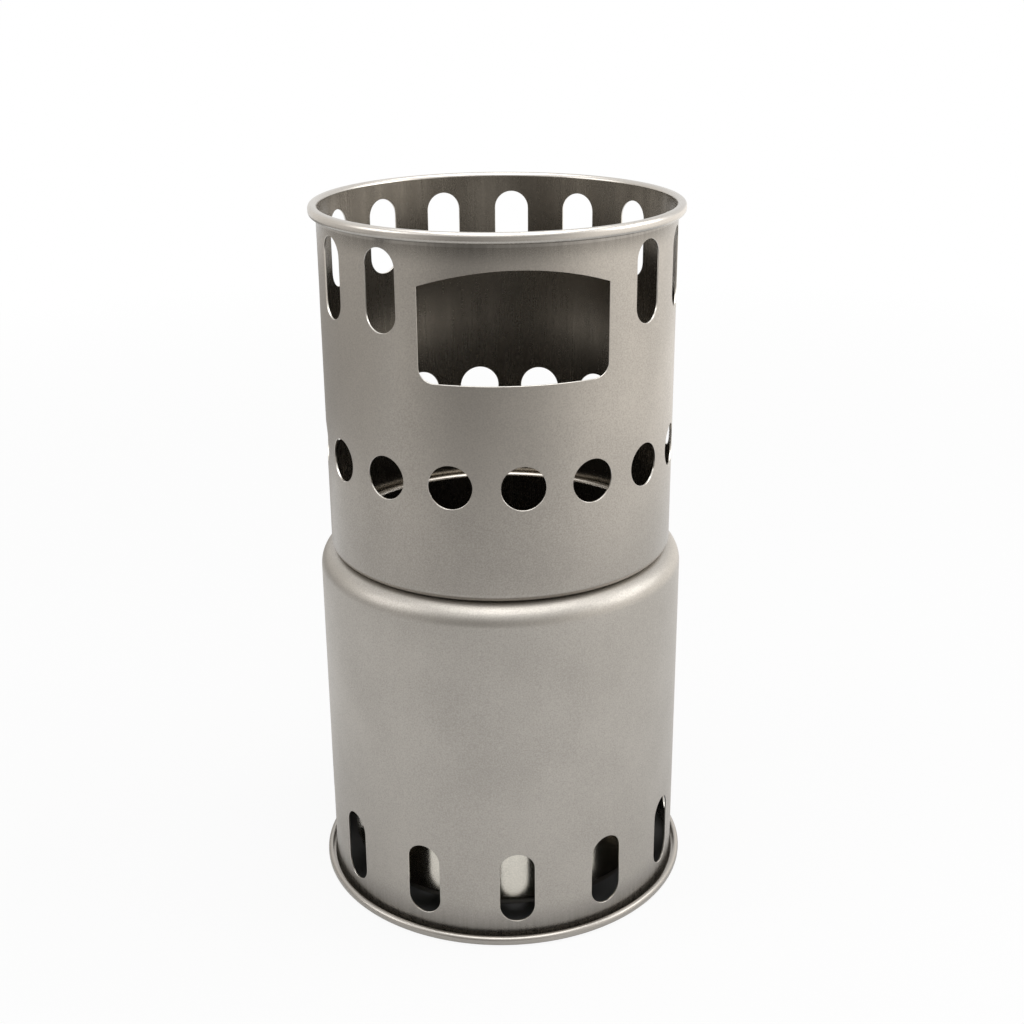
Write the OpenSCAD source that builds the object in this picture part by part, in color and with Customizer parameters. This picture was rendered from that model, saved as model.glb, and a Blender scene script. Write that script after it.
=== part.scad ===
// A wood stove of three nested drawn cans, standing assembled.
// The frame: +Z up, the ground at z = 0, the common axis at x = y = 0, the feed window facing -Y.

/* [Sheet] */
// Thickness of the drawn sheet
sheet = 0.5; // [0.4:0.05:0.7]

/* [Firebox] */
// Outside diameter of the firebox wall, from which the other cans take theirs
fire_d = 97.4; // [80:0.1:120]
// Outside radius between the firebox wall and its bottom
fire_corner_r = 5; // [3:0.5:8]
// Height of the firebox bottom over the ground
ground_gap = 6; // [4.5:0.5:12]
// Diameter of one hole of the grate
grate_hole_d = 5.5; // [4:0.5:6]
// Distance from the middle of the outer ring of grate holes to the start of the round corner
grate_margin = 7.7; // [5:0.1:12]
// Diameter of the small air holes under the rim
burn_hole_d = 5; // [3:0.5:6]
// Number of small air holes under the rim
burn_holes = 24; // [12:1:32]
// Depth of the small air holes under the top of the rim
burn_hole_drop = 13; // [12:0.5:20]

/* [Base can] */
// Height of the base can
base_h = 110; // [90:1:130]
// Number of air slots round the foot
base_slots = 12; // [8:1:14]
// Height of the lower end of the base slots over the ground
base_slot_rise = 7; // [5:0.5:20]
// Turn of the row of base slots from the middle of the window, in degrees
base_slot_turn = -1; // [-15:0.5:15]

/* [Pot stand] */
// Height of the pot stand, from its seat on the base can to the top of its rim
stand_h = 104; // [94:1:140]
// Number of round vents
vents = 16; // [10:1:18]
// Diameter of one round vent
vent_d = 12.6; // [8:0.2:14]
// Height of the middle of the round vents over the seat
vent_rise = 34; // [26:1:50]
// Turn of the rows of vents and slots from the middle of the window, in degrees
row_turn = 2; // [-5:0.5:5]
// Number of slots under the rim
stand_slots = 12; // [8:1:12]
// Distance round the wall from the side of the window to the middle of the slot beside it
window_to_slot = 13.7; // [11:0.1:18]
// Depth of the upper end of the slots under the top of the rim
stand_slot_drop = 5.8; // [5:0.1:9]

/* [Slots] */
// Width of every slot
slot_w = 10.5; // [8:0.5:13]
// Length of every slot, round ends included
slot_l = 23.2; // [16:0.2:26]

/* [Feed window] */
// Width of the window
window_w = 51.4; // [30:0.2:52]
// Height of the window at its straight sides
window_side_h = 26; // [16:1:28]
// Rise of the arched top over the upper corners
window_arch = 4.9; // [2:0.1:6]
// Radius of the two lower corners
window_corner_r = 4; // [2:0.5:8]
// Depth of the crown of the window under the top of the rim
window_drop = 10.1; // [8:0.1:13]

/* [Rolled edges] */
// Width of the rolled rims, wall included
rim_w = 2.7; // [2.5:0.1:3.5]
// Height of the rolled rims
rim_h = 3.15; // [2.9:0.05:4]
// Width of the foot curl, wall included
foot_w = 3.4; // [3:0.1:4.5]
// Height of the foot curl
foot_h = 2.8; // [2.7:0.1:4]
// Width of the open groove between the foot curl's lip and the wall
foot_groove = 1.5; // [0.5:0.1:2]
// Outside radius to which the edges are rolled
roll_r = 1.2; // [1:0.05:1.25]

/* [Clearances] */
// Gap between the firebox wall and the openings that it passes through
pass_gap = 0.3; // [0.2:0.05:0.6]
// Width of the flat land round the openings, where the cans stand on each other
land_w = 0.4; // [0.3:0.05:0.6]
// Gap between the firebox rim and the pot stand round it
nest_gap = 0.6; // [0.4:0.05:1.2]
// Gap between the firebox rim and the seat under it
seat_gap = 0.15; // [0.1:0.05:0.3]
// Gap between the pot stand's rim and the base can round it when they are packed
pack_gap = 0.8; // [0.5:0.1:2]

/* [Hidden] */
$fn = 96;

// Every cut runs this far past the faces that it goes through
overrun = 1;
// Slit between the lip of a rolled rim and its wall
rim_slit = 0.25;
// Number of rings of grate holes round the middle one, each with this many more holes than the last
grate_rings = 4;
ring_holes = 6;

// Radii, from the firebox outwards
fire_r = fire_d / 2;
fire_in_r = fire_r - sheet;
open_r = fire_r + pass_gap;
stand_in_r = fire_in_r + rim_w + nest_gap;
stand_r = stand_in_r + sheet;
base_in_r = stand_in_r + rim_w + pack_gap;
base_r = base_in_r + sheet;

// Radii of the drawn corners that end at the lands
shoulder_r = base_r - open_r - land_w;
tuck_r = stand_r - open_r - land_w;

// Seat of the firebox rim, where its lower corner lies in the pot stand's turned-in edge
tuck_in_r = tuck_r - sheet;
seat_side = tuck_in_r - nest_gap - roll_r;
seat_fall = sqrt((tuck_in_r - roll_r) ^ 2 - seat_side ^ 2);
rim_seat_z = base_h + tuck_r - seat_fall - roll_r + seat_gap;
fire_top_z = rim_seat_z + rim_h;
fire_h = fire_top_z - ground_gap;

// Distance from one ring of grate holes to the next
grate_pitch = (fire_r - fire_corner_r - grate_margin) / grate_rings;

// Angle from the middle of the window to the slot beside it, and from that slot to the next
first_slot_angle = asin(window_w / 2 / stand_r) + window_to_slot / stand_r * 180 / PI;
stand_slot_step = (360 - 2 * first_slot_angle) / (stand_slots - 1);

// The arch of the window, from its half width and its rise
arch_r = ((window_w / 2) ^ 2 + window_arch ^ 2) / (2 * window_arch);
window_h = window_side_h + window_arch;
window_crown = stand_h - window_drop;

// Rectangle with four round corners, its lower left corner at the origin
module round_rect(w, h, r) {
  translate([r, 0]) square([w - 2 * r, h]);
  translate([0, r]) square([w, h - 2 * r]);
  for (x = [r, w - r], y = [r, h - r])
    translate([x, y]) circle(r);
}

// Half section of a full can with a round lower corner
module can_section(r, h, corner) {
  square([r - corner, h]);
  translate([0, corner]) square([r, h - corner]);
  translate([r - corner, corner]) circle(corner);
}

// Half section of the sheet of a drawn can that is open at the top
module drawn_section(r, h, corner) {
  difference() {
    can_section(r, h, corner);
    translate([0, sheet]) can_section(r - sheet, h - sheet + overrun, corner - sheet);
  }
}

// Section of an edge rolled outwards over the top of a wall, whose inside face is at x = 0
// The mouth is the gap between the lip and the wall
module rolled_section(w, h, mouth) {
  difference() {
    round_rect(w, h, roll_r);
    translate([sheet, sheet]) round_rect(w - 2 * sheet, h - 2 * sheet, roll_r - sheet);
    translate([0, -overrun]) square([sheet + mouth, h / 2 + overrun]);
  }
  translate([0, -sheet]) square([sheet, h - roll_r + sheet]);
}

// Slot that stands upright in the plane, its middle at the origin
module slot_outline(w, l) {
  straight = l - w;
  translate([-w / 2, -straight / 2]) square([w, straight]);
  for (side = [-1, 1])
    translate([0, side * straight / 2]) circle(w / 2);
}

// Window outline, its crown at the origin
module window_outline() {
  half = window_w / 2;
  intersection() {
    translate([0, -arch_r]) circle(arch_r, $fn = 4 * $fn);
    translate([-half, -window_h + window_corner_r]) square([window_w, window_h]);
  }
  translate([-half + window_corner_r, -window_h]) square([window_w - 2 * window_corner_r, window_side_h]);
  for (side = [-1, 1])
    translate([side * (half - window_corner_r), -window_h + window_corner_r]) circle(window_corner_r);
}

// Pushes an outline of width w out through a wall of radius r, at an angle from the middle of the front
module punch(r, z, angle, w) {
  depth = r - (r - sheet) * cos(asin(w / 2 / r)) + overrun;
  rotate([0, 0, angle]) translate([0, -r + depth, z]) rotate([90, 0, 0])
    linear_extrude(depth + overrun) children();
}

// Inverted can that stands on its curled foot and ends at the top in the shoulder and the opening
module base_can() {
  color([0.58, 0.55, 0.52])
    difference() {
      rotate_extrude() {
        difference() {
          translate([0, base_h]) mirror([0, 1]) drawn_section(base_r, base_h - foot_h / 2, shoulder_r);
          translate([0, base_h - sheet - overrun]) square([open_r, sheet + 2 * overrun]);
        }
        translate([base_in_r, foot_h]) mirror([0, 1]) rolled_section(foot_w, foot_h, foot_groove);
      }
      for (i = [0:base_slots - 1])
        punch(base_r, base_slot_rise + slot_l / 2, base_slot_turn + i * 360 / base_slots, slot_w)
          slot_outline(slot_w, slot_l);
    }
}

// Ring of round holes through the firebox bottom
module grate_ring(ring) {
  count = ring_holes * ring;
  for (i = [0:count - 1])
    rotate([0, 0, i * 360 / count]) translate([ring * grate_pitch, 0, ground_gap - overrun])
      cylinder(d = grate_hole_d, h = sheet + 2 * overrun);
}

// Can that holds the fire, hung by its rolled rim, its bottom perforated as the grate
module firebox() {
  color([0.5, 0.47, 0.44])
    difference() {
      rotate_extrude() {
        translate([0, ground_gap]) drawn_section(fire_r, fire_h - rim_h / 2, fire_corner_r);
        translate([fire_in_r, rim_seat_z]) rolled_section(rim_w, rim_h, rim_slit);
      }
      translate([0, 0, ground_gap - overrun]) cylinder(d = grate_hole_d, h = sheet + 2 * overrun);
      for (ring = [1:grate_rings])
        grate_ring(ring);
      for (i = [0:burn_holes - 1])
        punch(fire_r, fire_top_z - burn_hole_drop, (i + 1 / 2) * 360 / burn_holes, burn_hole_d)
          circle(d = burn_hole_d);
    }
}

// Can that the pot stands on, with its edge turned in round the firebox at the bottom
module pot_stand() {
  color([0.6, 0.57, 0.54])
    translate([0, 0, base_h])
      difference() {
        rotate_extrude() {
          difference() {
            drawn_section(stand_r, stand_h - rim_h / 2, tuck_r);
            translate([0, -overrun]) square([open_r, sheet + 2 * overrun]);
          }
          translate([stand_in_r, stand_h - rim_h]) rolled_section(rim_w, rim_h, rim_slit);
        }
        for (i = [0:vents - 1])
          punch(stand_r, vent_rise, row_turn + i * 360 / vents, vent_d) circle(d = vent_d);
        for (i = [0:stand_slots - 1])
          punch(stand_r, stand_h - stand_slot_drop - slot_l / 2,
                row_turn + first_slot_angle + i * stand_slot_step, slot_w)
            slot_outline(slot_w, slot_l);
        punch(stand_r, window_crown, 0, window_w) window_outline();
      }
}

base_can();
firebox();
pot_stand();
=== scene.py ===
# %% [markdown]
# # A wood stove of three drawn cans
# This lesson dresses a small titanium camping stove: a slotted base can, a pot stand with an arched
# feed window, and a firebox that hangs inside the two. The mechanical model already exists, so the
# script starts by loading it as a fixed frame. Everything made here is in metres and sits exactly where
# that frame says, because the looks of a thing should never change its dimensions.

# %% Load the frame
import math

import bmesh
import bpy
from mathutils import Matrix, Vector
from mathutils.geometry import delaunay_2d_cdt


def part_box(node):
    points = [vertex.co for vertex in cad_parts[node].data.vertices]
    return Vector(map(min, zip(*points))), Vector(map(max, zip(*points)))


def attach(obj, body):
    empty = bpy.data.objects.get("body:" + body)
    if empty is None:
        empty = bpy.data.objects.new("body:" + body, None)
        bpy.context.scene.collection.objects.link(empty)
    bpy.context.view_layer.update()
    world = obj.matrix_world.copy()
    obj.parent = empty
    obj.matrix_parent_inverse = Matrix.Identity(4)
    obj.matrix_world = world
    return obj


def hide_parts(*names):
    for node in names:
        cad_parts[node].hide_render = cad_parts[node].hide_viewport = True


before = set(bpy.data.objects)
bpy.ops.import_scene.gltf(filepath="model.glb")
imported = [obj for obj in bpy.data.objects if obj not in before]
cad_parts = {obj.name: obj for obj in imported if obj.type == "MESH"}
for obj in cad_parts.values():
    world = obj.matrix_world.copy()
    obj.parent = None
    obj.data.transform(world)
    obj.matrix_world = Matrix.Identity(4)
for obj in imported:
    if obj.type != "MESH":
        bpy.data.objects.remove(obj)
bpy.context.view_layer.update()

MM = 0.001
print("cans in the frame:", sorted(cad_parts))

# %% [markdown]
# ## How the cans could be made
# A drawn can is a surface of revolution: one section, turned round the axis. The holes are the hard
# part. A boolean cutter would leave long thin faces that shade badly on a satin metal. Here each wall
# is unrolled flat, the outlines of its holes are laid on it, and the plain between them is filled with
# triangles. Rolled up again, the wall is exactly round, and every hole has a clean edge of its own.

# %% Name the sizes that the cans share
COLUMNS = 192
SHEET = 0.5 * MM
OPEN_R = 49.0 * MM
LAND_W = 0.4 * MM
LAND_R = OPEN_R + LAND_W
print("columns round each can:", COLUMNS, "of", 360 / COLUMNS, "degrees")


# %% [markdown]
# ## Sections
# A section is a list of points, each a radius and a height. Straight stretches need only their ends,
# and round ones come from a small arc helper. The rolled edge is worth the trouble: on the real stove
# the sheet is curled over into a hollow bead, and the slit where its lip ends shows from below.

# %% Draw arcs and rolled edges
ARC_STEPS = 10
LIP_STEPS = 5
ROLL_R = 1.2 * MM
RIM_W, RIM_H, RIM_SLIT = 2.7 * MM, 3.15 * MM, 0.25 * MM


def arc(centre_x, centre_y, radius, start, end, steps=ARC_STEPS):
    """Points on an arc, from one angle to another, in degrees over the sideways direction."""
    turns = [math.radians(start + (end - start) * i / steps) for i in range(steps + 1)]
    return [(centre_x + radius * math.cos(t), centre_y + radius * math.sin(t)) for t in turns]


def rolled_edge(wall_in_r, low_z, width, height, mouth):
    """Section of an edge rolled outwards over the top of a wall, from the wall's outside to its inside."""
    left, right = wall_in_r + ROLL_R, wall_in_r + width - ROLL_R
    low, high = low_z + ROLL_R, low_z + height - ROLL_R
    inner_r = ROLL_R - SHEET
    lip_r = wall_in_r + SHEET + mouth
    hollow = arc(left, high, inner_r, 180, 90) + arc(right, high, inner_r, 90, 0)
    hollow += arc(right, low, inner_r, 0, -90)
    shell = arc(right, low, ROLL_R, -90, 0) + arc(right, high, ROLL_R, 0, 90)
    shell += arc(left, high, ROLL_R, 90, 180)
    if lip_r < left:
        hollow_end = -180 + math.degrees(math.acos((left - lip_r) / inner_r))
        shell_end = -180 + math.degrees(math.acos((left - lip_r) / ROLL_R))
        hollow += arc(left, low, inner_r, -90, hollow_end, LIP_STEPS)
        shell = arc(left, low, ROLL_R, shell_end, -90, LIP_STEPS) + shell
    else:
        hollow.append((lip_r, low_z + SHEET))
        shell.insert(0, (lip_r, low_z))
    return hollow + shell


print("points of a rolled rim:", len(rolled_edge(0, 0, RIM_W, RIM_H, RIM_SLIT)))


# %% [markdown]
# ## Turning a section
# Turning means one ring of points for each point of the section, with quads between the rings. Blender
# has a Screw modifier for this, but the punched walls must meet the turned parts point for point, so
# both are made from the same columns. Angles start at the front of the stove and run to the right.

# %% Turn a section round the axis
def spot(radius, angle, height):
    """A point of the stove: radius from the axis, angle from the front, height over the ground."""
    return Vector((radius * math.sin(angle), -radius * math.cos(angle), height))


def turned(can, section):
    """Adds the faces that a section sweeps when it is turned once round the axis."""
    rings = []
    for radius, height in section:
        angles = [2 * math.pi * i / COLUMNS for i in range(COLUMNS)]
        rings.append([can.verts.new(spot(radius, a, height)) for a in angles])
    for low, high in zip(rings, rings[1:]):
        for i in range(COLUMNS):
            j = (i + 1) % COLUMNS
            can.faces.new((low[i], low[j], high[j], high[i]))


print("front of the opening in mm:", [round(side / MM, 1) for side in spot(OPEN_R, 0, 0)])


# %% [markdown]
# ## Outlines of the holes
# Each kind of hole is a closed line of points round its own middle, with a setting that lets it out by
# a small amount. The deburred edge of a punched hole needs that: the outline on the face of the sheet
# is a little wider than the one inside the cut.

# %% Draw the round holes and the slots
SLOT_ROUND_STEPS, SLOT_SIDE_STEPS = 22, 7


def straight(start, end, steps):
    """Points on a straight line, without its last one."""
    (x, y), (end_x, end_y) = start, end
    return [(x + (end_x - x) * i / steps, y + (end_y - y) * i / steps) for i in range(steps)]


def round_hole(diameter, steps):
    """Outline of a round hole."""
    def outline(grow=0.0):
        return arc(0, 0, diameter / 2 + grow, 0, 360, steps)[:-1]
    return outline


def slot(width, length):
    """Outline of an upright slot with round ends."""
    def outline(grow=0.0):
        radius, half = width / 2 + grow, (length - width) / 2
        line = arc(0, half, radius, 0, 180, SLOT_ROUND_STEPS)
        line += straight((-radius, half), (-radius, -half), SLOT_SIDE_STEPS)[1:]
        line += arc(0, -half, radius, 180, 360, SLOT_ROUND_STEPS)
        return line + straight((radius, -half), (radius, half), SLOT_SIDE_STEPS)[1:]
    return outline


SLOT_W, SLOT_L = 10.5 * MM, 23.2 * MM
SLOT = slot(SLOT_W, SLOT_L)
print("points of a slot:", len(SLOT()))

# %% [markdown]
# ## The outline of the feed window
# The window has a level sill and two round lower corners, and its top is one shallow arch. The radius of
# the arch follows from the window's width and from how far the crown rises over the upper corners. Its
# straight parts get points every millimetre or so, because they bend when the wall is rolled up.

# %% Draw the window
WINDOW_STEP = 1.2 * MM
WINDOW_W, WINDOW_SIDE = 51.4 * MM, 26 * MM
WINDOW_ARCH, WINDOW_CORNER_R = 4.9 * MM, 4 * MM


def arched_window(width, side, rise, corner_r):
    """Outline of the feed window, its middle at the crown of the arch."""
    arch_r = ((width / 2) ** 2 + rise ** 2) / (2 * rise)
    corner_x, corner_z = width / 2 - corner_r, -side - rise + corner_r
    sill_steps, side_steps, arch_steps = [round(part / WINDOW_STEP) for part in (2 * corner_x, side, width)]

    def outline(grow=0.0):
        half, sill = width / 2 + grow, -side - rise - grow
        lean = math.degrees(math.asin(half / (arch_r + grow)))
        shoulder_z = -arch_r + (arch_r + grow) * math.cos(math.radians(lean))
        line = straight((-corner_x, sill), (corner_x, sill), sill_steps)
        line += arc(corner_x, corner_z, corner_r + grow, -90, 0)[:-1]
        line += straight((half, corner_z), (half, shoulder_z), side_steps)
        line += arc(0, -arch_r, arch_r + grow, 90 - lean, 90 + lean, arch_steps)[:-1]
        line += straight((-half, shoulder_z), (-half, corner_z), side_steps)
        return line + arc(-corner_x, corner_z, corner_r + grow, 180, 270)[:-1]
    return outline


WINDOW = arched_window(WINDOW_W, WINDOW_SIDE, WINDOW_ARCH, WINDOW_CORNER_R)
print("points of the window:", len(WINDOW()))


# %% [markdown]
# ## Filling the plain between the holes
# The constrained triangulation takes a rim, some loose points inside it and the outlines of the holes,
# and returns triangles that respect every line. Loose points near a hole would make slivers, so those
# are left out first. Each triangle also says which hole it came from, and those are thrown away.

# %% Fill a plain with triangles
WHOLE_PLAIN, SAME_POINT = 0, 1e-6


def distance_to(line, x, y):
    """Signed distance from a point to a closed line, below zero inside it."""
    nearest, inside = math.inf, False
    for (ax, ay), (bx, by) in zip(line, line[1:] + line[:1]):
        dx, dy = bx - ax, by - ay
        t = max(0.0, min(1.0, ((x - ax) * dx + (y - ay) * dy) / (dx * dx + dy * dy)))
        nearest = min(nearest, math.hypot(x - ax - t * dx, y - ay - t * dy))
        if (ay > y) != (by > y) and x < ax + dx * (y - ay) / dy:
            inside = not inside
    return -nearest if inside else nearest


def clear_of(loose, holes, keep_off):
    """The loose points that stand at least some distance outside every hole."""
    reach = []
    for line in holes:
        xs, ys = zip(*line)
        reach.append((min(xs) - keep_off, max(xs) + keep_off, min(ys) - keep_off, max(ys) + keep_off))
    kept = []
    for x, y in loose:
        near = [h for h, (a, b, c, d) in zip(holes, reach) if a < x < b and c < y < d]
        if all(distance_to(h, x, y) > keep_off for h in near):
            kept.append((x, y))
    return kept


def filled(rim, loose, holes, keep_off):
    """Points and triangles of a flat plain with holes."""
    points, areas = list(rim), []
    lines = [(i, (i + 1) % len(rim)) for i in range(len(rim))]
    for hole in holes:
        areas.append([len(points) + i for i in range(len(hole))])
        points += hole
    points += clear_of(loose, holes, keep_off)
    in_mm = [Vector(p) / MM for p in points]
    flat, _, faces, _, _, sources = delaunay_2d_cdt(in_mm, lines, areas, WHOLE_PLAIN, SAME_POINT, True)
    triangles = [face for face, source in zip(faces, sources) if not source]
    return [p * MM for p in flat], triangles


around_slot = [(-SLOT_L, -SLOT_L), (SLOT_L, -SLOT_L), (SLOT_L, SLOT_L), (-SLOT_L, SLOT_L)]
print("triangles of a square with one slot:", len(filled(around_slot, [], [SLOT()], 0)[1]))


# %% [markdown]
# ## Cutting through the sheet
# A punched hole has a cut face as deep as the sheet is thick, and its two edges are rubbed down a little.
# So each cut is three bands between four copies of the outline, of which the outer two are let out. A
# press punches straight through, so the outline keeps its true width at every depth of a curved wall,
# and spans more degrees on the inside than on the outside.

# %% Cut the edge of a hole
DEBURR = 0.07 * MM
CUT_DEPTHS = (0, DEBURR, SHEET - DEBURR, SHEET)
# Faces of the plain outside keep the number 0
CUT_FACE, INSIDE_FACE, ROLLED_FACE = 1, 2, 3


def on_wall(radius, angle, height):
    """Carries a point of a flat outline straight back to a wall."""
    return lambda x, z: spot(radius, angle + math.asin(x / radius), height + z)


def on_floor(hole_x, hole_y, height):
    """Carries a point of a flat outline to a floor."""
    return lambda x, y: Vector((x + hole_x, y + hole_y, height))


def cut_edge(can, outline, places):
    """Joins the four copies of one outline with faces of bare cut metal."""
    lines = [outline(DEBURR), outline(), outline(), outline(DEBURR)]
    rows = [[can.verts.new(place(x, y)) for x, y in line] for place, line in zip(places, lines)]
    for low, high in zip(rows, rows[1:]):
        for i in range(len(low)):
            j = (i + 1) % len(low)
            can.faces.new((low[i], low[j], high[j], high[i])).material_index = CUT_FACE


print("depths of the four copies in mm:", [round(depth / MM, 2) for depth in CUT_DEPTHS])


# %% [markdown]
# ## Punching a wall
# The wall is slit open at a column that no hole crosses and laid flat, once for its outside and once for
# its inside. Each outline is laid on it by its true sideways distance, the plain is filled, and the cut
# edges join the two sides. The rows of loose points keep the triangles from growing long.

# %% Punch holes through a wall
ROW_STEP = 4 * MM
WALL_KEEP_OFF = 0.6 * MM


def freest_column(radius, holes):
    """Angle of the column that is farthest from every hole."""
    spans = []
    for angle, _, outline in holes:
        widest = max(abs(x) for x, _ in outline(DEBURR))
        spans.append((angle, math.asin(widest / radius)))

    def room(column):
        turn = 2 * math.pi * column / COLUMNS
        return min(abs(math.remainder(turn - a, 2 * math.pi)) - half for a, half in spans)

    return 2 * math.pi * max(range(COLUMNS), key=room) / COLUMNS


def punched_wall(can, out_r, low_z, high_z, holes):
    """Both sides of a wall, open at its ends, with holes given as (angle, height, outline)."""
    start = freest_column(out_r - SHEET, holes)
    rows = max(1, round((high_z - low_z) / ROW_STEP))
    across = [(start + 2 * math.pi * i / COLUMNS) * out_r for i in range(COLUMNS + 1)]
    up = [low_z + (high_z - low_z) * i / rows for i in range(rows + 1)]
    rim = [(x, low_z) for x in across] + [(across[-1], z) for z in up[1:-1]]
    rim += [(x, high_z) for x in reversed(across)] + [(across[0], z) for z in reversed(up[1:-1])]
    loose = [(x, z) for x in across[1:-1] for z in up[1:-1]]
    for radius in (out_r, out_r - SHEET):
        laid = []
        for angle, height, outline in holes:
            middle = start + (angle - start) % (2 * math.pi)
            flat = [(middle + math.asin(x / radius), height + z) for x, z in outline(DEBURR)]
            laid.append([(turn * out_r, z) for turn, z in flat])
        points, triangles = filled(rim, loose, laid, WALL_KEEP_OFF)
        verts = [can.verts.new(spot(radius, x / out_r, z)) for x, z in points]
        for triangle in triangles:
            can.faces.new([verts[i] for i in triangle])
    for angle, height, outline in holes:
        cut_edge(can, outline, [on_wall(out_r - depth, angle, height) for depth in CUT_DEPTHS])


def row_of(count, turn, height, outline):
    """An even row of holes round a wall, the first one turned some degrees from the front."""
    return [(math.radians(turn + 360 / count * i), height, outline) for i in range(count)]


print("angles of a row of four:", [round(math.degrees(a), 1) for a, _, _ in row_of(4, -1, 0, SLOT)])


# %% [markdown]
# ## Punching a floor
# The grate is a flat disc, so its outlines need no unrolling. Its loose points stand in rings, six more
# in each ring than in the last, which keeps them evenly spaced from the middle to the edge.

# %% Punch holes through a floor
FLOOR_STEP = 2.5 * MM
FLOOR_KEEP_OFF = 0.4 * MM
RING_HOLES = 6


def ring_angles(ring):
    """Evenly spaced angles of one ring, six for each ring from the middle."""
    count = RING_HOLES * ring
    return [2 * math.pi * i / count for i in range(count)]


def punched_floor(can, radius, low_z, holes):
    """Both faces of a round floor with holes given as (x, y, outline)."""
    rim = [spot(radius, 2 * math.pi * i / COLUMNS, 0).to_2d()[:] for i in range(COLUMNS)]
    count = int(radius / FLOOR_STEP)
    loose = [(0.0, 0.0)]
    for ring in range(1, count + 1):
        r = ring * radius / (count + 0.5)
        loose += [(r * math.sin(t), r * math.cos(t)) for t in ring_angles(ring)]
    laid = [[(x + hx, y + hy) for x, y in outline(DEBURR)] for hx, hy, outline in holes]
    points, triangles = filled(rim, loose, laid, FLOOR_KEEP_OFF)
    for z in (low_z, low_z + SHEET):
        verts = [can.verts.new((x, y, z)) for x, y in points]
        for triangle in triangles:
            can.faces.new([verts[i] for i in triangle])
    for hx, hy, outline in holes:
        cut_edge(can, outline, [on_floor(hx, hy, low_z + depth) for depth in CUT_DEPTHS])


print("points in the third ring:", len(ring_angles(3)))


# %% [markdown]
# ## Sorting the faces
# A can has four finishes: the plain outside, the bare cut metal of the holes, the inside, and the rolled
# edge. The cut faces were marked when they were made. The others are told apart by where they stand and
# which way they look.

# %% Mark the rolled edge and the inside
TOWARDS_AXIS = -0.01
LOOKS_UP = 0.7
OVER_WALL, INTO_WALL = 0.01 * MM, 0.1 * MM


def sort_faces(can, rolled, inner_r, floor_z):
    """Marks the faces of the rolled edge and those that look into the can."""
    for face in can.faces:
        x, y, z = face.calc_center_median()
        radius = math.hypot(x, y)
        inward = face.normal.x * x + face.normal.y * y < TOWARDS_AXIS * radius
        bottom = face.normal.z > LOOKS_UP and z < floor_z
        if face.material_index == CUT_FACE:
            continue
        if rolled[0] < z < rolled[1] and radius > inner_r + OVER_WALL:
            face.material_index = ROLLED_FACE
        elif radius < inner_r + INTO_WALL and (inward or bottom):
            face.material_index = INSIDE_FACE


print("numbers of the cut, inside and rolled faces:", CUT_FACE, INSIDE_FACE, ROLLED_FACE)


# %% [markdown]
# ## Finishing a can
# The parts of a can are welded where their points meet, and a test counts open edges: a real can has
# none, since both sides of its sheet are modelled. Shading is smooth except at true corners. On walls
# that are exactly upright the normals are set one by one, straight out from the axis, so that the triangles
# between the holes leave no trace in the reflections.

# %% Weld, smooth and place a can
WELD = 0.002 * MM
CORNER = math.radians(32)
ON_WALL = 0.01 * MM
SQUARE_TO_WALL = 0.97


def wall_normals(mesh, wall_radii):
    """A normal for each corner of each face, straight out or in on the walls and left open elsewhere."""
    normals = []
    for polygon in mesh.polygons:
        for index in polygon.vertices:
            x, y, _ = mesh.vertices[index].co
            radius = math.hypot(x, y)
            out = Vector((x, y, 0)) / max(radius, MM)
            facing = out.dot(polygon.normal)
            upright = any(abs(radius - r) < ON_WALL for r in wall_radii)
            exact = polygon.material_index != CUT_FACE and upright and abs(facing) > SQUARE_TO_WALL
            normals.append(math.copysign(1, facing) * out if exact else Vector((0, 0, 0)))
    return normals


def finish_can(can, name, body, node, wall_radii, rolled, floor_z=0.0):
    """Turns the loose parts into one object that rides on its body and stands for its CAD node."""
    bmesh.ops.remove_doubles(can, verts=can.verts, dist=WELD)
    bmesh.ops.recalc_face_normals(can, faces=can.faces)
    sort_faces(can, rolled, min(wall_radii), floor_z)
    open_edges = sum(1 for e in can.edges if len(e.link_faces) != 2)
    mesh = bpy.data.meshes.new(name)
    can.to_mesh(mesh)
    can.free()
    mesh.shade_smooth()
    mesh.set_sharp_from_angle(angle=CORNER)
    mesh.normals_split_custom_set(wall_normals(mesh, wall_radii))
    piece = bpy.data.objects.new(name, mesh)
    bpy.context.scene.collection.objects.link(piece)
    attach(piece, body)
    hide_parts(node)
    print(name, len(mesh.polygons), "faces, open edges:", open_edges)
    return piece


# %% [markdown]
# ## The base can
# The base can is drawn like a cup and then turned upside down. Its bottom has been cut out, which leaves
# the soft round shoulder, and its mouth is curled outwards into the foot, with an open groove between
# the curl and the wall. Twelve slots just over the foot feed air to the fire.

# %% Build the base can
BASE_H = 110 * MM
BASE_R = 55.5 * MM
SHOULDER_R = 6.1 * MM
SHOULDER_STEPS = 18
FOOT_W, FOOT_H, FOOT_GROOVE = 3.4 * MM, 2.8 * MM, 1.5 * MM
FOOT_TO_WALL = 2 * MM
BASE_SLOTS, BASE_SLOT_TURN, BASE_SLOT_RISE = 12, -1, 7 * MM


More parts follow.
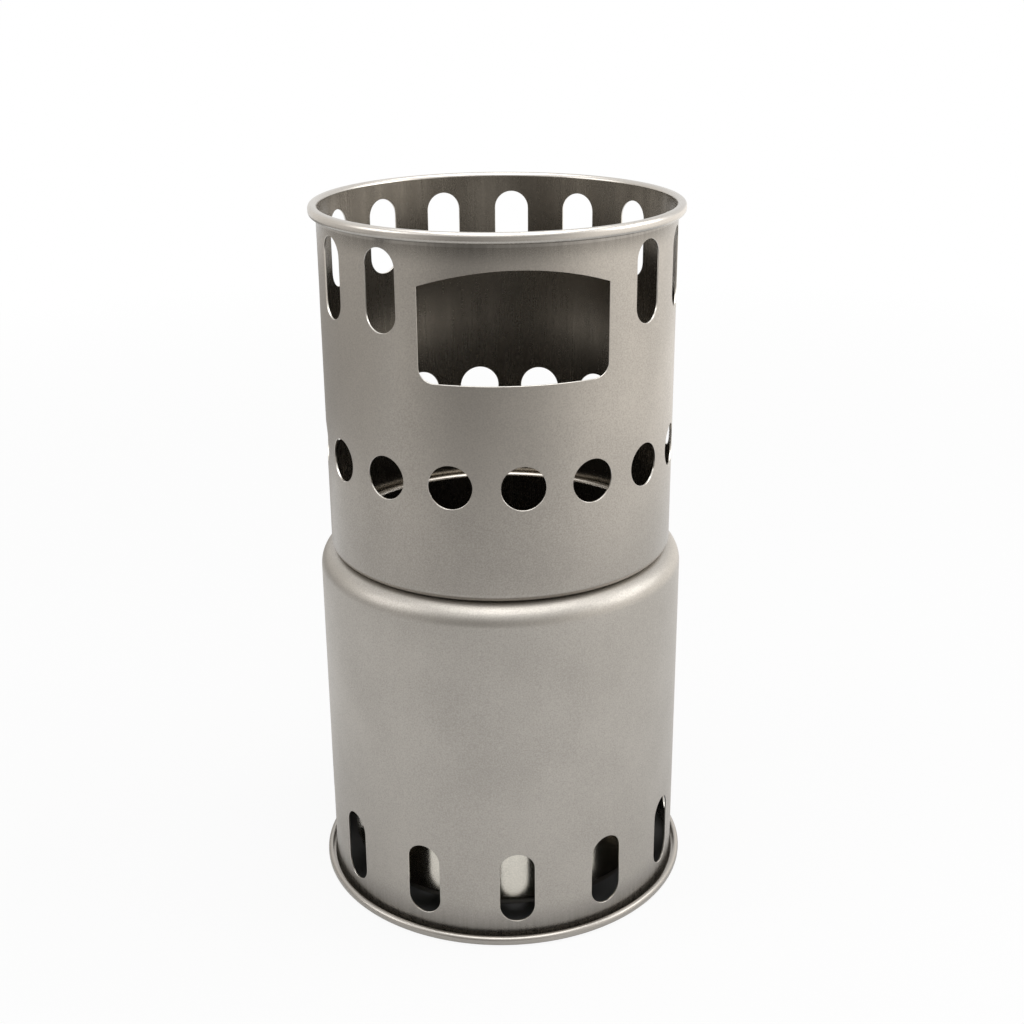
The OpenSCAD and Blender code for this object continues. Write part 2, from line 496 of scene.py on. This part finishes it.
def base_can():
    """The base can as one piece, from its shoulder down to its foot."""
    can = bmesh.new()
    curve_z = BASE_H - SHOULDER_R
    wall_low = FOOT_H + FOOT_TO_WALL
    shoulder = [(BASE_R, curve_z)] + arc(LAND_R, curve_z, SHOULDER_R, 0, 90, SHOULDER_STEPS)[1:]
    shoulder += [(OPEN_R, BASE_H), (OPEN_R, BASE_H - SHEET)]
    shoulder += arc(LAND_R, curve_z, SHOULDER_R - SHEET, 90, 0, SHOULDER_STEPS)
    turned(can, shoulder)
    curl = [(r, FOOT_H - z) for r, z in rolled_edge(BASE_R - SHEET, 0, FOOT_W, FOOT_H, FOOT_GROOVE)]
    turned(can, [(BASE_R, wall_low)] + curl + [(BASE_R - SHEET, wall_low)])
    slots = row_of(BASE_SLOTS, BASE_SLOT_TURN, BASE_SLOT_RISE + SLOT_L / 2, SLOT)
    punched_wall(can, BASE_R, wall_low, curve_z, slots)
    radii = (BASE_R, BASE_R - SHEET)
    return finish_can(can, "base_can_sheet", "base_can", "base_can", radii, (-MM, FOOT_H))


base_piece = base_can()

# %% [markdown]
# ## The pot stand
# The pot stand is the can on top. Its lower edge is turned in to a ring that sits flat on the base can,
# and its upper edge is rolled into the rim that carries the pot. Above the round vents come the slots
# that let the flue gas out, and the arched window takes the place of the slots in front.

# %% Build the pot stand
STAND_H = 104 * MM
STAND_LOW, STAND_TOP = BASE_H, BASE_H + STAND_H
STAND_R = 52 * MM
TUCK_R = 2.6 * MM
RIM_TO_WALL = 1 * MM
ROW_TURN = 2
VENTS, VENT_D, VENT_RISE, VENT_STEPS = 16, 12.6 * MM, 34 * MM, 48
STAND_SLOTS, STAND_SLOT_DROP = 12, 5.8 * MM
WINDOW_DROP, WINDOW_TO_SLOT = 10.1 * MM, 13.7 * MM


def stand_holes():
    """Vents, slots and window of the pot stand."""
    holes = row_of(VENTS, ROW_TURN, STAND_LOW + VENT_RISE, round_hole(VENT_D, VENT_STEPS))
    first = math.degrees(math.asin(WINDOW_W / 2 / STAND_R) + WINDOW_TO_SLOT / STAND_R)
    step = (360 - 2 * first) / (STAND_SLOTS - 1)
    slot_z = STAND_TOP - STAND_SLOT_DROP - SLOT_L / 2
    holes += [(math.radians(ROW_TURN + first + step * i), slot_z, SLOT) for i in range(STAND_SLOTS)]
    return holes + [(0, STAND_TOP - WINDOW_DROP, WINDOW)]


def pot_stand():
    """The pot stand as one piece, from its turned-in edge up to its rolled rim."""
    can = bmesh.new()
    curve_z = STAND_LOW + TUCK_R
    rim_z = STAND_TOP - RIM_H
    wall_high = rim_z - RIM_TO_WALL
    tuck = arc(LAND_R, curve_z, TUCK_R - SHEET, 0, -90)
    tuck += [(OPEN_R, STAND_LOW + SHEET), (OPEN_R, STAND_LOW)]
    turned(can, tuck + arc(LAND_R, curve_z, TUCK_R, -90, 0))
    rim = rolled_edge(STAND_R - SHEET, rim_z, RIM_W, RIM_H, RIM_SLIT)
    turned(can, [(STAND_R, wall_high)] + rim + [(STAND_R - SHEET, wall_high)])
    punched_wall(can, STAND_R, curve_z, wall_high, stand_holes())
    rolled = (rim_z, STAND_TOP + MM)
    radii = (STAND_R, STAND_R - SHEET)
    return finish_can(can, "pot_stand_sheet", "pot_stand", "pot_stand", radii, rolled, curve_z)


stand_piece = pot_stand()

# %% [markdown]
# ## The firebox
# The firebox hangs by its rolled rim inside the pot stand and holds the fire. Its floor is the grate, a
# disc full of round holes in rings, and a row of small holes under the rim lets hot air out over the
# fire. Through the slots of the base can its wall catches the light and shines.

# %% Build the firebox
FIRE_LOW = 6 * MM
FIRE_R = 48.7 * MM
FIRE_CORNER_R = 5 * MM
FIRE_CORNER_STEPS = 14
FIRE_RIM_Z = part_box("firebox")[1].z - RIM_H
BURN_HOLES, BURN_D, BURN_DROP = 24, 5 * MM, 13 * MM
GRATE_PITCH, GRATE_RINGS, GRATE_HOLE_D = 9 * MM, 4, 5.5 * MM
FIRE_HOLE_STEPS = 32


def grate_holes():
    """Holes of the grate, one in the middle and the rest in rings."""
    hole = round_hole(GRATE_HOLE_D, FIRE_HOLE_STEPS)
    holes = [(0.0, 0.0, hole)]
    for ring in range(1, GRATE_RINGS + 1):
        r = ring * GRATE_PITCH
        holes += [(r * math.cos(t), r * math.sin(t), hole) for t in ring_angles(ring)]
    return holes


def firebox():
    """The firebox as one piece, from its perforated floor up to its rolled rim."""
    can = bmesh.new()
    corner_r, corner_z = FIRE_R - FIRE_CORNER_R, FIRE_LOW + FIRE_CORNER_R
    wall_high = FIRE_RIM_Z - RIM_TO_WALL
    for radius in (FIRE_CORNER_R, FIRE_CORNER_R - SHEET):
        turned(can, arc(corner_r, corner_z, radius, -90, 0, FIRE_CORNER_STEPS))
    rim = rolled_edge(FIRE_R - SHEET, FIRE_RIM_Z, RIM_W, RIM_H, RIM_SLIT)
    turned(can, [(FIRE_R, wall_high)] + rim + [(FIRE_R - SHEET, wall_high)])
    burn_z = FIRE_RIM_Z + RIM_H - BURN_DROP
    burn_holes = row_of(BURN_HOLES, 180 / BURN_HOLES, burn_z, round_hole(BURN_D, FIRE_HOLE_STEPS))
    punched_wall(can, FIRE_R, corner_z, wall_high, burn_holes)
    punched_floor(can, corner_r, FIRE_LOW, grate_holes())
    rolled = (FIRE_RIM_Z, FIRE_RIM_Z + RIM_H + MM)
    radii = (FIRE_R, FIRE_R - SHEET)
    return finish_can(can, "firebox_sheet", "firebox", "firebox", radii, rolled, corner_z)


fire_piece = firebox()


# %% [markdown]
# ## Nodes with short calls
# A material is a small network, and each node in it takes three or four lines of Python to add, set and
# link. The metal, the paper, the cards and the room all need such networks, so the calls are shortened
# once, here. The helper that carries a value from one range into another is the one used most.

# %% Shorten the calls
def node_maker(owner):
    """Short calls that add a node to a material or a world, set its inputs and link to them."""
    tree = owner.node_tree

    def add(kind, inputs=None, **settings):
        node = tree.nodes.new(kind)
        for key, value in settings.items():
            setattr(node, key, value)
        for key, value in (inputs or {}).items():
            if isinstance(value, bpy.types.NodeSocket):
                tree.links.new(value, node.inputs[key])
            else:
                node.inputs[key].default_value = value
        return node
    return add


def ranged(add, value, before=(0, 1), after=(0, 1), smooth=False):
    """Carries a value from one range into another and holds it at the ends."""
    inputs = {"Value": value, "From Min": before[0], "From Max": before[1]}
    inputs.update({"To Min": after[0], "To Max": after[1]})
    kind = "SMOOTHSTEP" if smooth else "LINEAR"
    return add("ShaderNodeMapRange", inputs, interpolation_type=kind).outputs[0]


def calculated(add, operation, one, other):
    """Two values put together by a sum, a product or the like."""
    return add("ShaderNodeMath", {0: one, 1: other}, operation=operation).outputs[0]


def blank_material(name):
    """A material with no nodes in it yet, and the call that adds them."""
    material = bpy.data.materials.new(name)
    material.use_nodes = True
    material.node_tree.nodes.clear()
    return material, node_maker(material)


print("materials before the metal:", len(bpy.data.materials))


# %% [markdown]
# ## Titanium
# Bare titanium is a warm grey metal. The outside has a fine grain, as if blasted, so its shine is soft,
# with faint upright streaks from the drawing press. All of it comes from noise in the object's own
# coordinates. The streaks use one trick: noise stretched far along Z, sampled on a thin round wall,
# gives upright lines with no seam at the back.
#
# Shade is painted into the colour in a few height zones, which are also made smoother: under the pot
# stand's rim, on the lower half of that rim, near the foot and, weakly, over the seam. The painted shade
# is streaked by the upright lines. Each such zone is a height where the metal is still plain, a height
# where the effect is full, and its strength.

# %% Mix the titanium
GRAIN_SCALE, STREAK_SCALE, CLOUD_SCALE = 2400.0, 900.0, 40.0
FINE_DETAIL, FINE_ROUGH = 3.0, 0.65
CLOUD_DETAIL, CLOUD_ROUGH = 4.0, 0.55
GRAIN_WEIGHT = 2.5
TONE_REACH = 0.4
GLOSS_REACH = 0.05
# In a zone of painted shade the colour falls to this share and the roughness changes by this amount
PAINTED_SHADE_SHARE, SHADE_ZONE_GLOSS = 0.5, -0.16
SHADE_STREAK_RANGE, SHADE_STREAK_LEAST = (0.35, 0.65), 0.75
RELIEF = 0.02 * MM


def shaded(colour, share):
    """A colour made lighter or darker, with no part of it over full."""
    return tuple(min(1, c * share) for c in colour) + (1,)


def titanium(name, colour, roughness, grain=0.8, streak=0.15, spread=0.11, stretch=0.03, painted_shade=()):
    """Satin titanium with grain, streaks and clouds, with painted shade and less roughness in height zones.
    """
    material = bpy.data.materials.new(name)
    material.use_nodes = True
    add = node_maker(material)

    def noise(vector, scale, detail, rough):
        inputs = {"Vector": vector, "Scale": scale, "Detail": detail, "Roughness": rough}
        return add("ShaderNodeTexNoise", inputs).outputs["Fac"]

    def blend(share, one, other):
        return add("ShaderNodeMix", {0: share, 6: one, 7: other}, data_type="RGBA").outputs[2]

    place = add("ShaderNodeTexCoord").outputs["Object"]
    height = add("ShaderNodeSeparateXYZ", {"Vector": place}).outputs["Z"]
    stretched = add("ShaderNodeMapping", {"Vector": place, "Scale": (1, 1, stretch)}).outputs[0]
    fine = noise(place, GRAIN_SCALE, FINE_DETAIL, FINE_ROUGH)
    lines = noise(stretched, STREAK_SCALE, FINE_DETAIL, FINE_ROUGH)
    cloud = noise(place, CLOUD_SCALE, CLOUD_DETAIL, CLOUD_ROUGH)
    grained = calculated(add, "ADD", calculated(add, "MULTIPLY", fine, GRAIN_WEIGHT * grain), cloud)
    tone = calculated(add, "ADD", grained, calculated(add, "MULTIPLY", lines, streak))
    middle = 0.5 * (GRAIN_WEIGHT * grain + 1 + streak)
    share = ranged(add, tone, (middle - TONE_REACH, middle + TONE_REACH))
    paint = blend(share, shaded(colour, 1 - spread), shaded(colour, 1 + spread))
    gloss = ranged(add, share, after=(roughness + GLOSS_REACH, roughness - GLOSS_REACH))
    # Painted shade in height zones, streaked by the upright lines; the same zones also lower the roughness
    shade_streaks = ranged(add, lines, SHADE_STREAK_RANGE, (SHADE_STREAK_LEAST, 1))
    for plain_z, edge_z, strength in painted_shade:
        shade_ramp = ranged(add, height, (plain_z, edge_z), (0, strength), smooth=True)
        shade_amount = calculated(add, "MULTIPLY", shade_ramp, shade_streaks)
        paint = blend(shade_amount, paint, shaded(colour, PAINTED_SHADE_SHARE))
        gloss = calculated(add, "ADD", gloss, calculated(add, "MULTIPLY", shade_amount, SHADE_ZONE_GLOSS))
    pits = add("ShaderNodeBump", {"Height": fine, "Strength": grain, "Distance": RELIEF}).outputs[0]
    bumps = {"Height": lines, "Normal": pits, "Strength": streak, "Distance": RELIEF}
    marks = add("ShaderNodeBump", bumps).outputs[0]
    shader = material.node_tree.nodes["Principled BSDF"]
    shader.inputs["Metallic"].default_value = 1.0
    for socket, value in (("Base Color", paint), ("Roughness", gloss), ("Normal", marks)):
        material.node_tree.links.new(value, shader.inputs[socket])
    return material


# Painted shade keeps this share of the colour where it is full
print("share of its colour that a fully worked spot keeps:", PAINTED_SHADE_SHARE)

# %% [markdown]
# ## The finishes of the cans
# Seen from outside, the base can is a little lighter and duller than the pot stand. Inside, both are
# streaked like drawn sheet, and their colour is darker as painted shade of the closed cans. The firebox is
# the brightest and smoothest of the three outside, and its inside has the darkest painted shade. Cut and
# rolled edges were rubbed by the tools, so they have less grain than the walls.

# %% Dress the cans
# Painted shade darkens the base can towards its foot
base_metal = titanium("base_sheet", (0.405, 0.381, 0.348), 0.43, grain=1.0, painted_shade=[(14 * MM, 2 * MM, 1)])
# Painted shade darkens the pot stand under its rim and, weakly, towards the seam
stand_metal = titanium("stand_sheet", (0.38, 0.354, 0.32), 0.36, grain=1.1, spread=0.13,
                       painted_shade=[(204 * MM, 211.5 * MM, 1), (140 * MM, 112 * MM, 0.2)])
fire_metal = titanium("firebox_sheet", (0.68, 0.65, 0.58), 0.2, grain=0.8)
# The insides are darker in colour as painted shade of the closed cans; their streaks are the drawn sheet's
# own
shaded_inside_metal = titanium("inside_painted_shade", (0.25, 0.226, 0.192), 0.26,
                       grain=0.3, streak=0.9, spread=0.22, stretch=0.04)
shaded_fire_inside = titanium("firebox_inside_painted_shade", (0.2, 0.18, 0.155), 0.28,
                      grain=0.3, streak=0.7, spread=0.2, stretch=0.04)
cut_metal = titanium("sheared_edge", (0.66, 0.63, 0.58), 0.3, grain=0.3)
foot_metal = titanium("foot_curl", (0.40, 0.376, 0.345), 0.3, grain=0.15)
# Painted shade darkens the lower half of the pot stand's rim
rim_metal = titanium("stand_rim", (0.54, 0.51, 0.47), 0.3, grain=0.1,
                     painted_shade=[(212.4 * MM, 211.0 * MM, 1)])
fire_rim_metal = titanium("firebox_rim", (0.48, 0.45, 0.41), 0.26, grain=0.1)


def dress(piece, outside, inside, rolled):
    """Gives a can its four finishes, in the order of the numbers that its faces carry."""
    for metal in (outside, cut_metal, inside, rolled):
        piece.data.materials.append(metal)


dress(base_piece, base_metal, shaded_inside_metal, foot_metal)
dress(stand_piece, stand_metal, shaded_inside_metal, rim_metal)
dress(fire_piece, fire_metal, shaded_fire_inside, fire_rim_metal)
print("finishes:", sorted(m.name for m in bpy.data.materials))

# %% [markdown]
# ## Floor and backdrop
# The stove stands on white paper against white. The floor is a large plane whose surface also glows for
# the camera and for reflections, which keeps it white without more light on the metal. The glow is a
# little weaker near the stove, so that the shadows stay in it.
#
# What the metal mirrors of the floor is held apart from what the camera sees. It is dim close to the
# foot and fades towards the front and the left, which gives the walls their deeper tone there. Under
# the stove lies a dark grey disc that doesn't glow: it is painted shade for the space inside the base can.

# %% Mix the paper
GLOW_REACH, SHINE_REACH = (0.15, 0.9), (0.06, 0.18)
WHITE_WAY = (0.75, 0.66, 0)
FRONT_REACH, FRONT_SHINE = (-0.62, 0.0), 0.15


def seen_directly(add):
    """1 for rays from the camera, from reflections and through glass, otherwise 0."""
    ray = add("ShaderNodeLightPath")
    seen = calculated(add, "MAXIMUM", ray.outputs["Is Camera Ray"], ray.outputs["Is Glossy Ray"])
    return calculated(add, "MAXIMUM", seen, ray.outputs["Is Transmission Ray"])


def paper(name, colour, near_glow=0.0, near_shine=0.0):
    """White paper. What the camera and the metal see of it glows, less near the stove and far in front."""
    material, add = blank_material(name)
    matt = add("ShaderNodeBsdfDiffuse", {"Color": (colour, colour, colour, 1)}).outputs[0]
    if not near_glow:
        add("ShaderNodeOutputMaterial", {"Surface": matt})
        return material
    lit = add("ShaderNodeEmission", {"Color": (1, 1, 1, 1), "Strength": 1.0}).outputs[0]
    place = add("ShaderNodeTexCoord").outputs["Object"]
    away = add("ShaderNodeVectorMath", {0: place}, operation="LENGTH").outputs["Value"]
    along = add("ShaderNodeVectorMath", {0: place, 1: WHITE_WAY}, operation="DOT_PRODUCT").outputs["Value"]
    seen = ranged(add, away, GLOW_REACH, (near_glow, 1))
    near = ranged(add, away, SHINE_REACH, (near_shine, 1), smooth=True)
    front = ranged(add, along, FRONT_REACH, (FRONT_SHINE, 1))
    shine = calculated(add, "MULTIPLY", near, front)
    mirrored = add("ShaderNodeLightPath").outputs["Is Glossy Ray"]
    glow = add("ShaderNodeMix", {0: mirrored, 2: seen, 3: shine}).outputs[0]
    factor = calculated(add, "MULTIPLY", seen_directly(add), glow)
    mixed = add("ShaderNodeMixShader", {0: factor, 1: matt, 2: lit}).outputs[0]
    add("ShaderNodeOutputMaterial", {"Surface": mixed})
    return material


white_paper = paper("white_paper", 0.86, near_glow=0.9, near_shine=0.25)
# Dark grey paper: painted shade for the space inside the base can
shaded_paper = paper("shaded_paper", 0.15)
print("papers:", white_paper.name, shaded_paper.name)

# %% [markdown]
# ## Laying the paper
# The large sheet has a round hole under the stove, and the disc fills it exactly. Two sheets in the same
# plane would show as specks, and a disc on top of the sheet would stand above the ground.

# %% Lay the floor
PAPER_FRONT, PAPER_SIDE, PAPER_BACK = -3.0, 3.0, 4.0
DISC_R, DISC_PARTS = 57.0 * MM, 96


def flat_sheet(name, outline, material, holes=()):
    """A flat sheet on the ground inside an outline, with room for the stove's disc where one is given."""
    points, triangles = filled(outline, [], list(holes), 0)
    mesh = bpy.data.meshes.new(name)
    mesh.from_pydata([(x, y, 0) for x, y in points], [], triangles)
    mesh.materials.append(material)
    thing = bpy.data.objects.new(name, mesh)
    bpy.context.scene.collection.objects.link(thing)
    return thing


under_stove = [spot(DISC_R, 2 * math.pi * i / DISC_PARTS, 0).to_2d()[:] for i in range(DISC_PARTS)]
corners = [(-PAPER_SIDE, PAPER_FRONT), (PAPER_SIDE, PAPER_FRONT)]
corners += [(PAPER_SIDE, PAPER_BACK), (-PAPER_SIDE, PAPER_BACK)]
paper_floor = flat_sheet("paper_floor", corners, white_paper, [under_stove])
# The disc under the stove is painted shade
under_disc = flat_sheet("paper_under_stove", under_stove, shaded_paper)
print("floor in metres:", [round(side, 2) for side in paper_floor.dimensions[:2]])
print("disc in mm:", [round(side / MM, 1) for side in under_disc.dimensions[:2]])

# %% [markdown]
# ## Lamps
# Metal shows its surroundings more than its own colour. A large soft box overhead puts the bright line
# on the shoulder and on the rims, and a smaller one on each side lights the edges of the cans. Each is
# set by its brightness as seen in the metal, and its power follows from its size.

# %% Hang the soft boxes
MIDDLE = (0, 0, 0.11)
OVERHEAD_X, OVERHEAD_Y, OVERHEAD_Z = 0.05, -0.13, 0.95


def soft_box(name, width, depth, radiance, place, aim=MIDDLE):
    """A rectangular area light of a given brightness, aimed at a point."""
    light = bpy.data.lights.new(name, "AREA")
    light.shape = "RECTANGLE"
    light.size, light.size_y = width, depth
    light.energy = radiance * math.pi * width * depth
    box = bpy.data.objects.new(name, light)
    bpy.context.scene.collection.objects.link(box)
    box.location = place
    box.rotation_mode = "QUATERNION"
    box.rotation_quaternion = (Vector(aim) - Vector(place)).to_track_quat("-Z", "Y")
    print(name, "power in watts:", round(light.energy, 2))


soft_box("overhead_box", 0.85, 1.0, 2.35, (OVERHEAD_X, OVERHEAD_Y, OVERHEAD_Z), (OVERHEAD_X, OVERHEAD_Y, 0))
soft_box("right_box", 0.6, 0.6, 2.6, (0.8, -0.05, 0.5))
soft_box("left_box", 0.5, 0.5, 2.2, (-0.75, -0.15, 0.5))

# %% [markdown]
# ## The white room
# The world stands for the room. The camera and reflections see it as full white, and it lights the
# stove only a little, so that the lamps keep shaping the metal.

# %% Paint the room
ROOM_LIGHT = 0.2
world = bpy.data.worlds.new("white_room")
bpy.context.scene.world = world
world.use_nodes = True
world.node_tree.nodes.clear()
add_to_room = node_maker(world)
level = ranged(add_to_room, seen_directly(add_to_room), after=(ROOM_LIGHT, 1))
back = add_to_room("ShaderNodeBackground", {"Color": (1, 1, 1, 1), "Strength": level}).outputs[0]
add_to_room("ShaderNodeOutputWorld", {"Surface": back})
print("nodes of the room:", len(world.node_tree.nodes))


# %% [markdown]
# ## Cards
# A metal wall that stands upright mirrors mostly what stands low round it. Curved cards, seen only by
# reflections, give it something to mirror: dark ones in front, bright ones on the right, a high one on
# the left, and low ones close to the stove at both sides and behind it. Each card spans some degrees
# from the front, and its brightness changes smoothly from one end to the other.

# %% Stand up the cards
CARD_COLOUR = (1.0, 0.97, 0.93, 1)
CARD_PARTS = 24


def card_glow(name, weak, strong):
    """A glow that changes along a card, from one strength to another."""
    material, add = blank_material(name)
    share = add("ShaderNodeAttribute", attribute_name="share").outputs["Fac"]
    strength = ranged(add, share, after=(weak, strong), smooth=True)
    glow = add("ShaderNodeEmission", {"Color": CARD_COLOUR, "Strength": strength}).outputs[0]
    add("ShaderNodeOutputMaterial", {"Surface": glow})
    return material


def card(name, radius, turns, heights, glow):
    """A curved card that only reflections see, between two angles and two heights."""
    sheet = bmesh.new()
    shares = sheet.verts.layers.float.new("share")
    rows = []
    for i in range(CARD_PARTS + 1):
        t = math.radians(turns[0] + (turns[1] - turns[0]) * i / CARD_PARTS)
        rows.append([sheet.verts.new(spot(radius, t, z)) for z in heights])
        for vert in rows[-1]:
            vert[shares] = i / CARD_PARTS
    for a, b in zip(rows, rows[1:]):
        sheet.faces.new((a[0], b[0], b[1], a[1]))
    mesh = bpy.data.meshes.new(name)
    sheet.to_mesh(mesh)
    sheet.free()
    mesh.materials.append(card_glow(name, *glow))
    thing = bpy.data.objects.new(name, mesh)
    bpy.context.scene.collection.objects.link(thing)
    thing.visible_camera = thing.visible_shadow = thing.visible_diffuse = False
    print(name, "brightness:", *glow)


card("front_card", radius=1.0, turns=(-85, 20), heights=(0.0, 0.5), glow=(0.3, 0.3))
card("front_right_card", radius=1.0, turns=(20, 75), heights=(0.0, 0.6), glow=(0.3, 1.9))
card("tripod_left_card", radius=0.4, turns=(-70, -24), heights=(0.0, 0.3), glow=(0.75, 0.3))
card("tripod_right_card", radius=0.4, turns=(-24, 4), heights=(0.0, 0.3), glow=(0.3, 0.5))
card("right_edge_card", radius=0.42, turns=(4, 70), heights=(0.0, 0.22), glow=(0.5, 1.3))
card("right_low_card", radius=0.42, turns=(70, 150), heights=(0.0, 0.22), glow=(1.3, 1.4))
card("left_low_card", radius=0.45, turns=(-205, -78), heights=(0.0, 0.12), glow=(0.36, 0.55))
card("left_high_card", radius=1.0, turns=(-150, -75), heights=(0.0, 0.8), glow=(1.0, 0.7))
card("left_back_card", radius=0.26, turns=(-205, -150), heights=(0.0, 0.09), glow=(0.5, 0.5))

# %% [markdown]
# ## Camera
# The photograph was taken from a little above the rim, close enough for a strong perspective. Position,
# tilt and focal length come from matching the rims, the seam and the sides of the walls. The window is
# turned slightly to the right of the view, so the camera stands a few degrees to the left of it.

# %% Place the camera
CAMERA_TURN = math.radians(-5.2)
CAMERA_AWAY = 437.7 * MM
CAMERA_UP = 284.2 * MM
PITCH, YAW, ROLL = 0.36328, 0.0083, -0.00702
FOCAL_PX = 1513.07
PHOTO_PX = 1024
SENSOR_WIDTH = 36.0
CLIP_NEAR, CLIP_FAR = 0.01, 50

view_way = Vector((math.sin(YAW) * math.cos(PITCH), math.cos(YAW) * math.cos(PITCH), -math.sin(PITCH)))
level_right = view_way.cross(Vector((0, 0, 1))).normalized()
level_up = level_right.cross(view_way)
right = math.cos(ROLL) * level_right + math.sin(ROLL) * level_up
up = -math.sin(ROLL) * level_right + math.cos(ROLL) * level_up
turn = Matrix.Rotation(CAMERA_TURN, 4, "Z")
axes = Matrix((right, up, -view_way)).transposed().to_4x4()
camera_data = bpy.data.cameras.new("photo_camera")
camera_data.sensor_width = SENSOR_WIDTH
camera_data.lens = FOCAL_PX * SENSOR_WIDTH / PHOTO_PX
camera_data.clip_start, camera_data.clip_end = CLIP_NEAR, CLIP_FAR
camera = bpy.data.objects.new("photo_camera", camera_data)
bpy.context.scene.collection.objects.link(camera)
camera.matrix_world = turn @ Matrix.Translation((0, -CAMERA_AWAY, CAMERA_UP)) @ axes
bpy.context.scene.camera = camera
bpy.context.scene.view_settings.view_transform = "Standard"
print("focal length in mm:", round(camera_data.lens, 2))
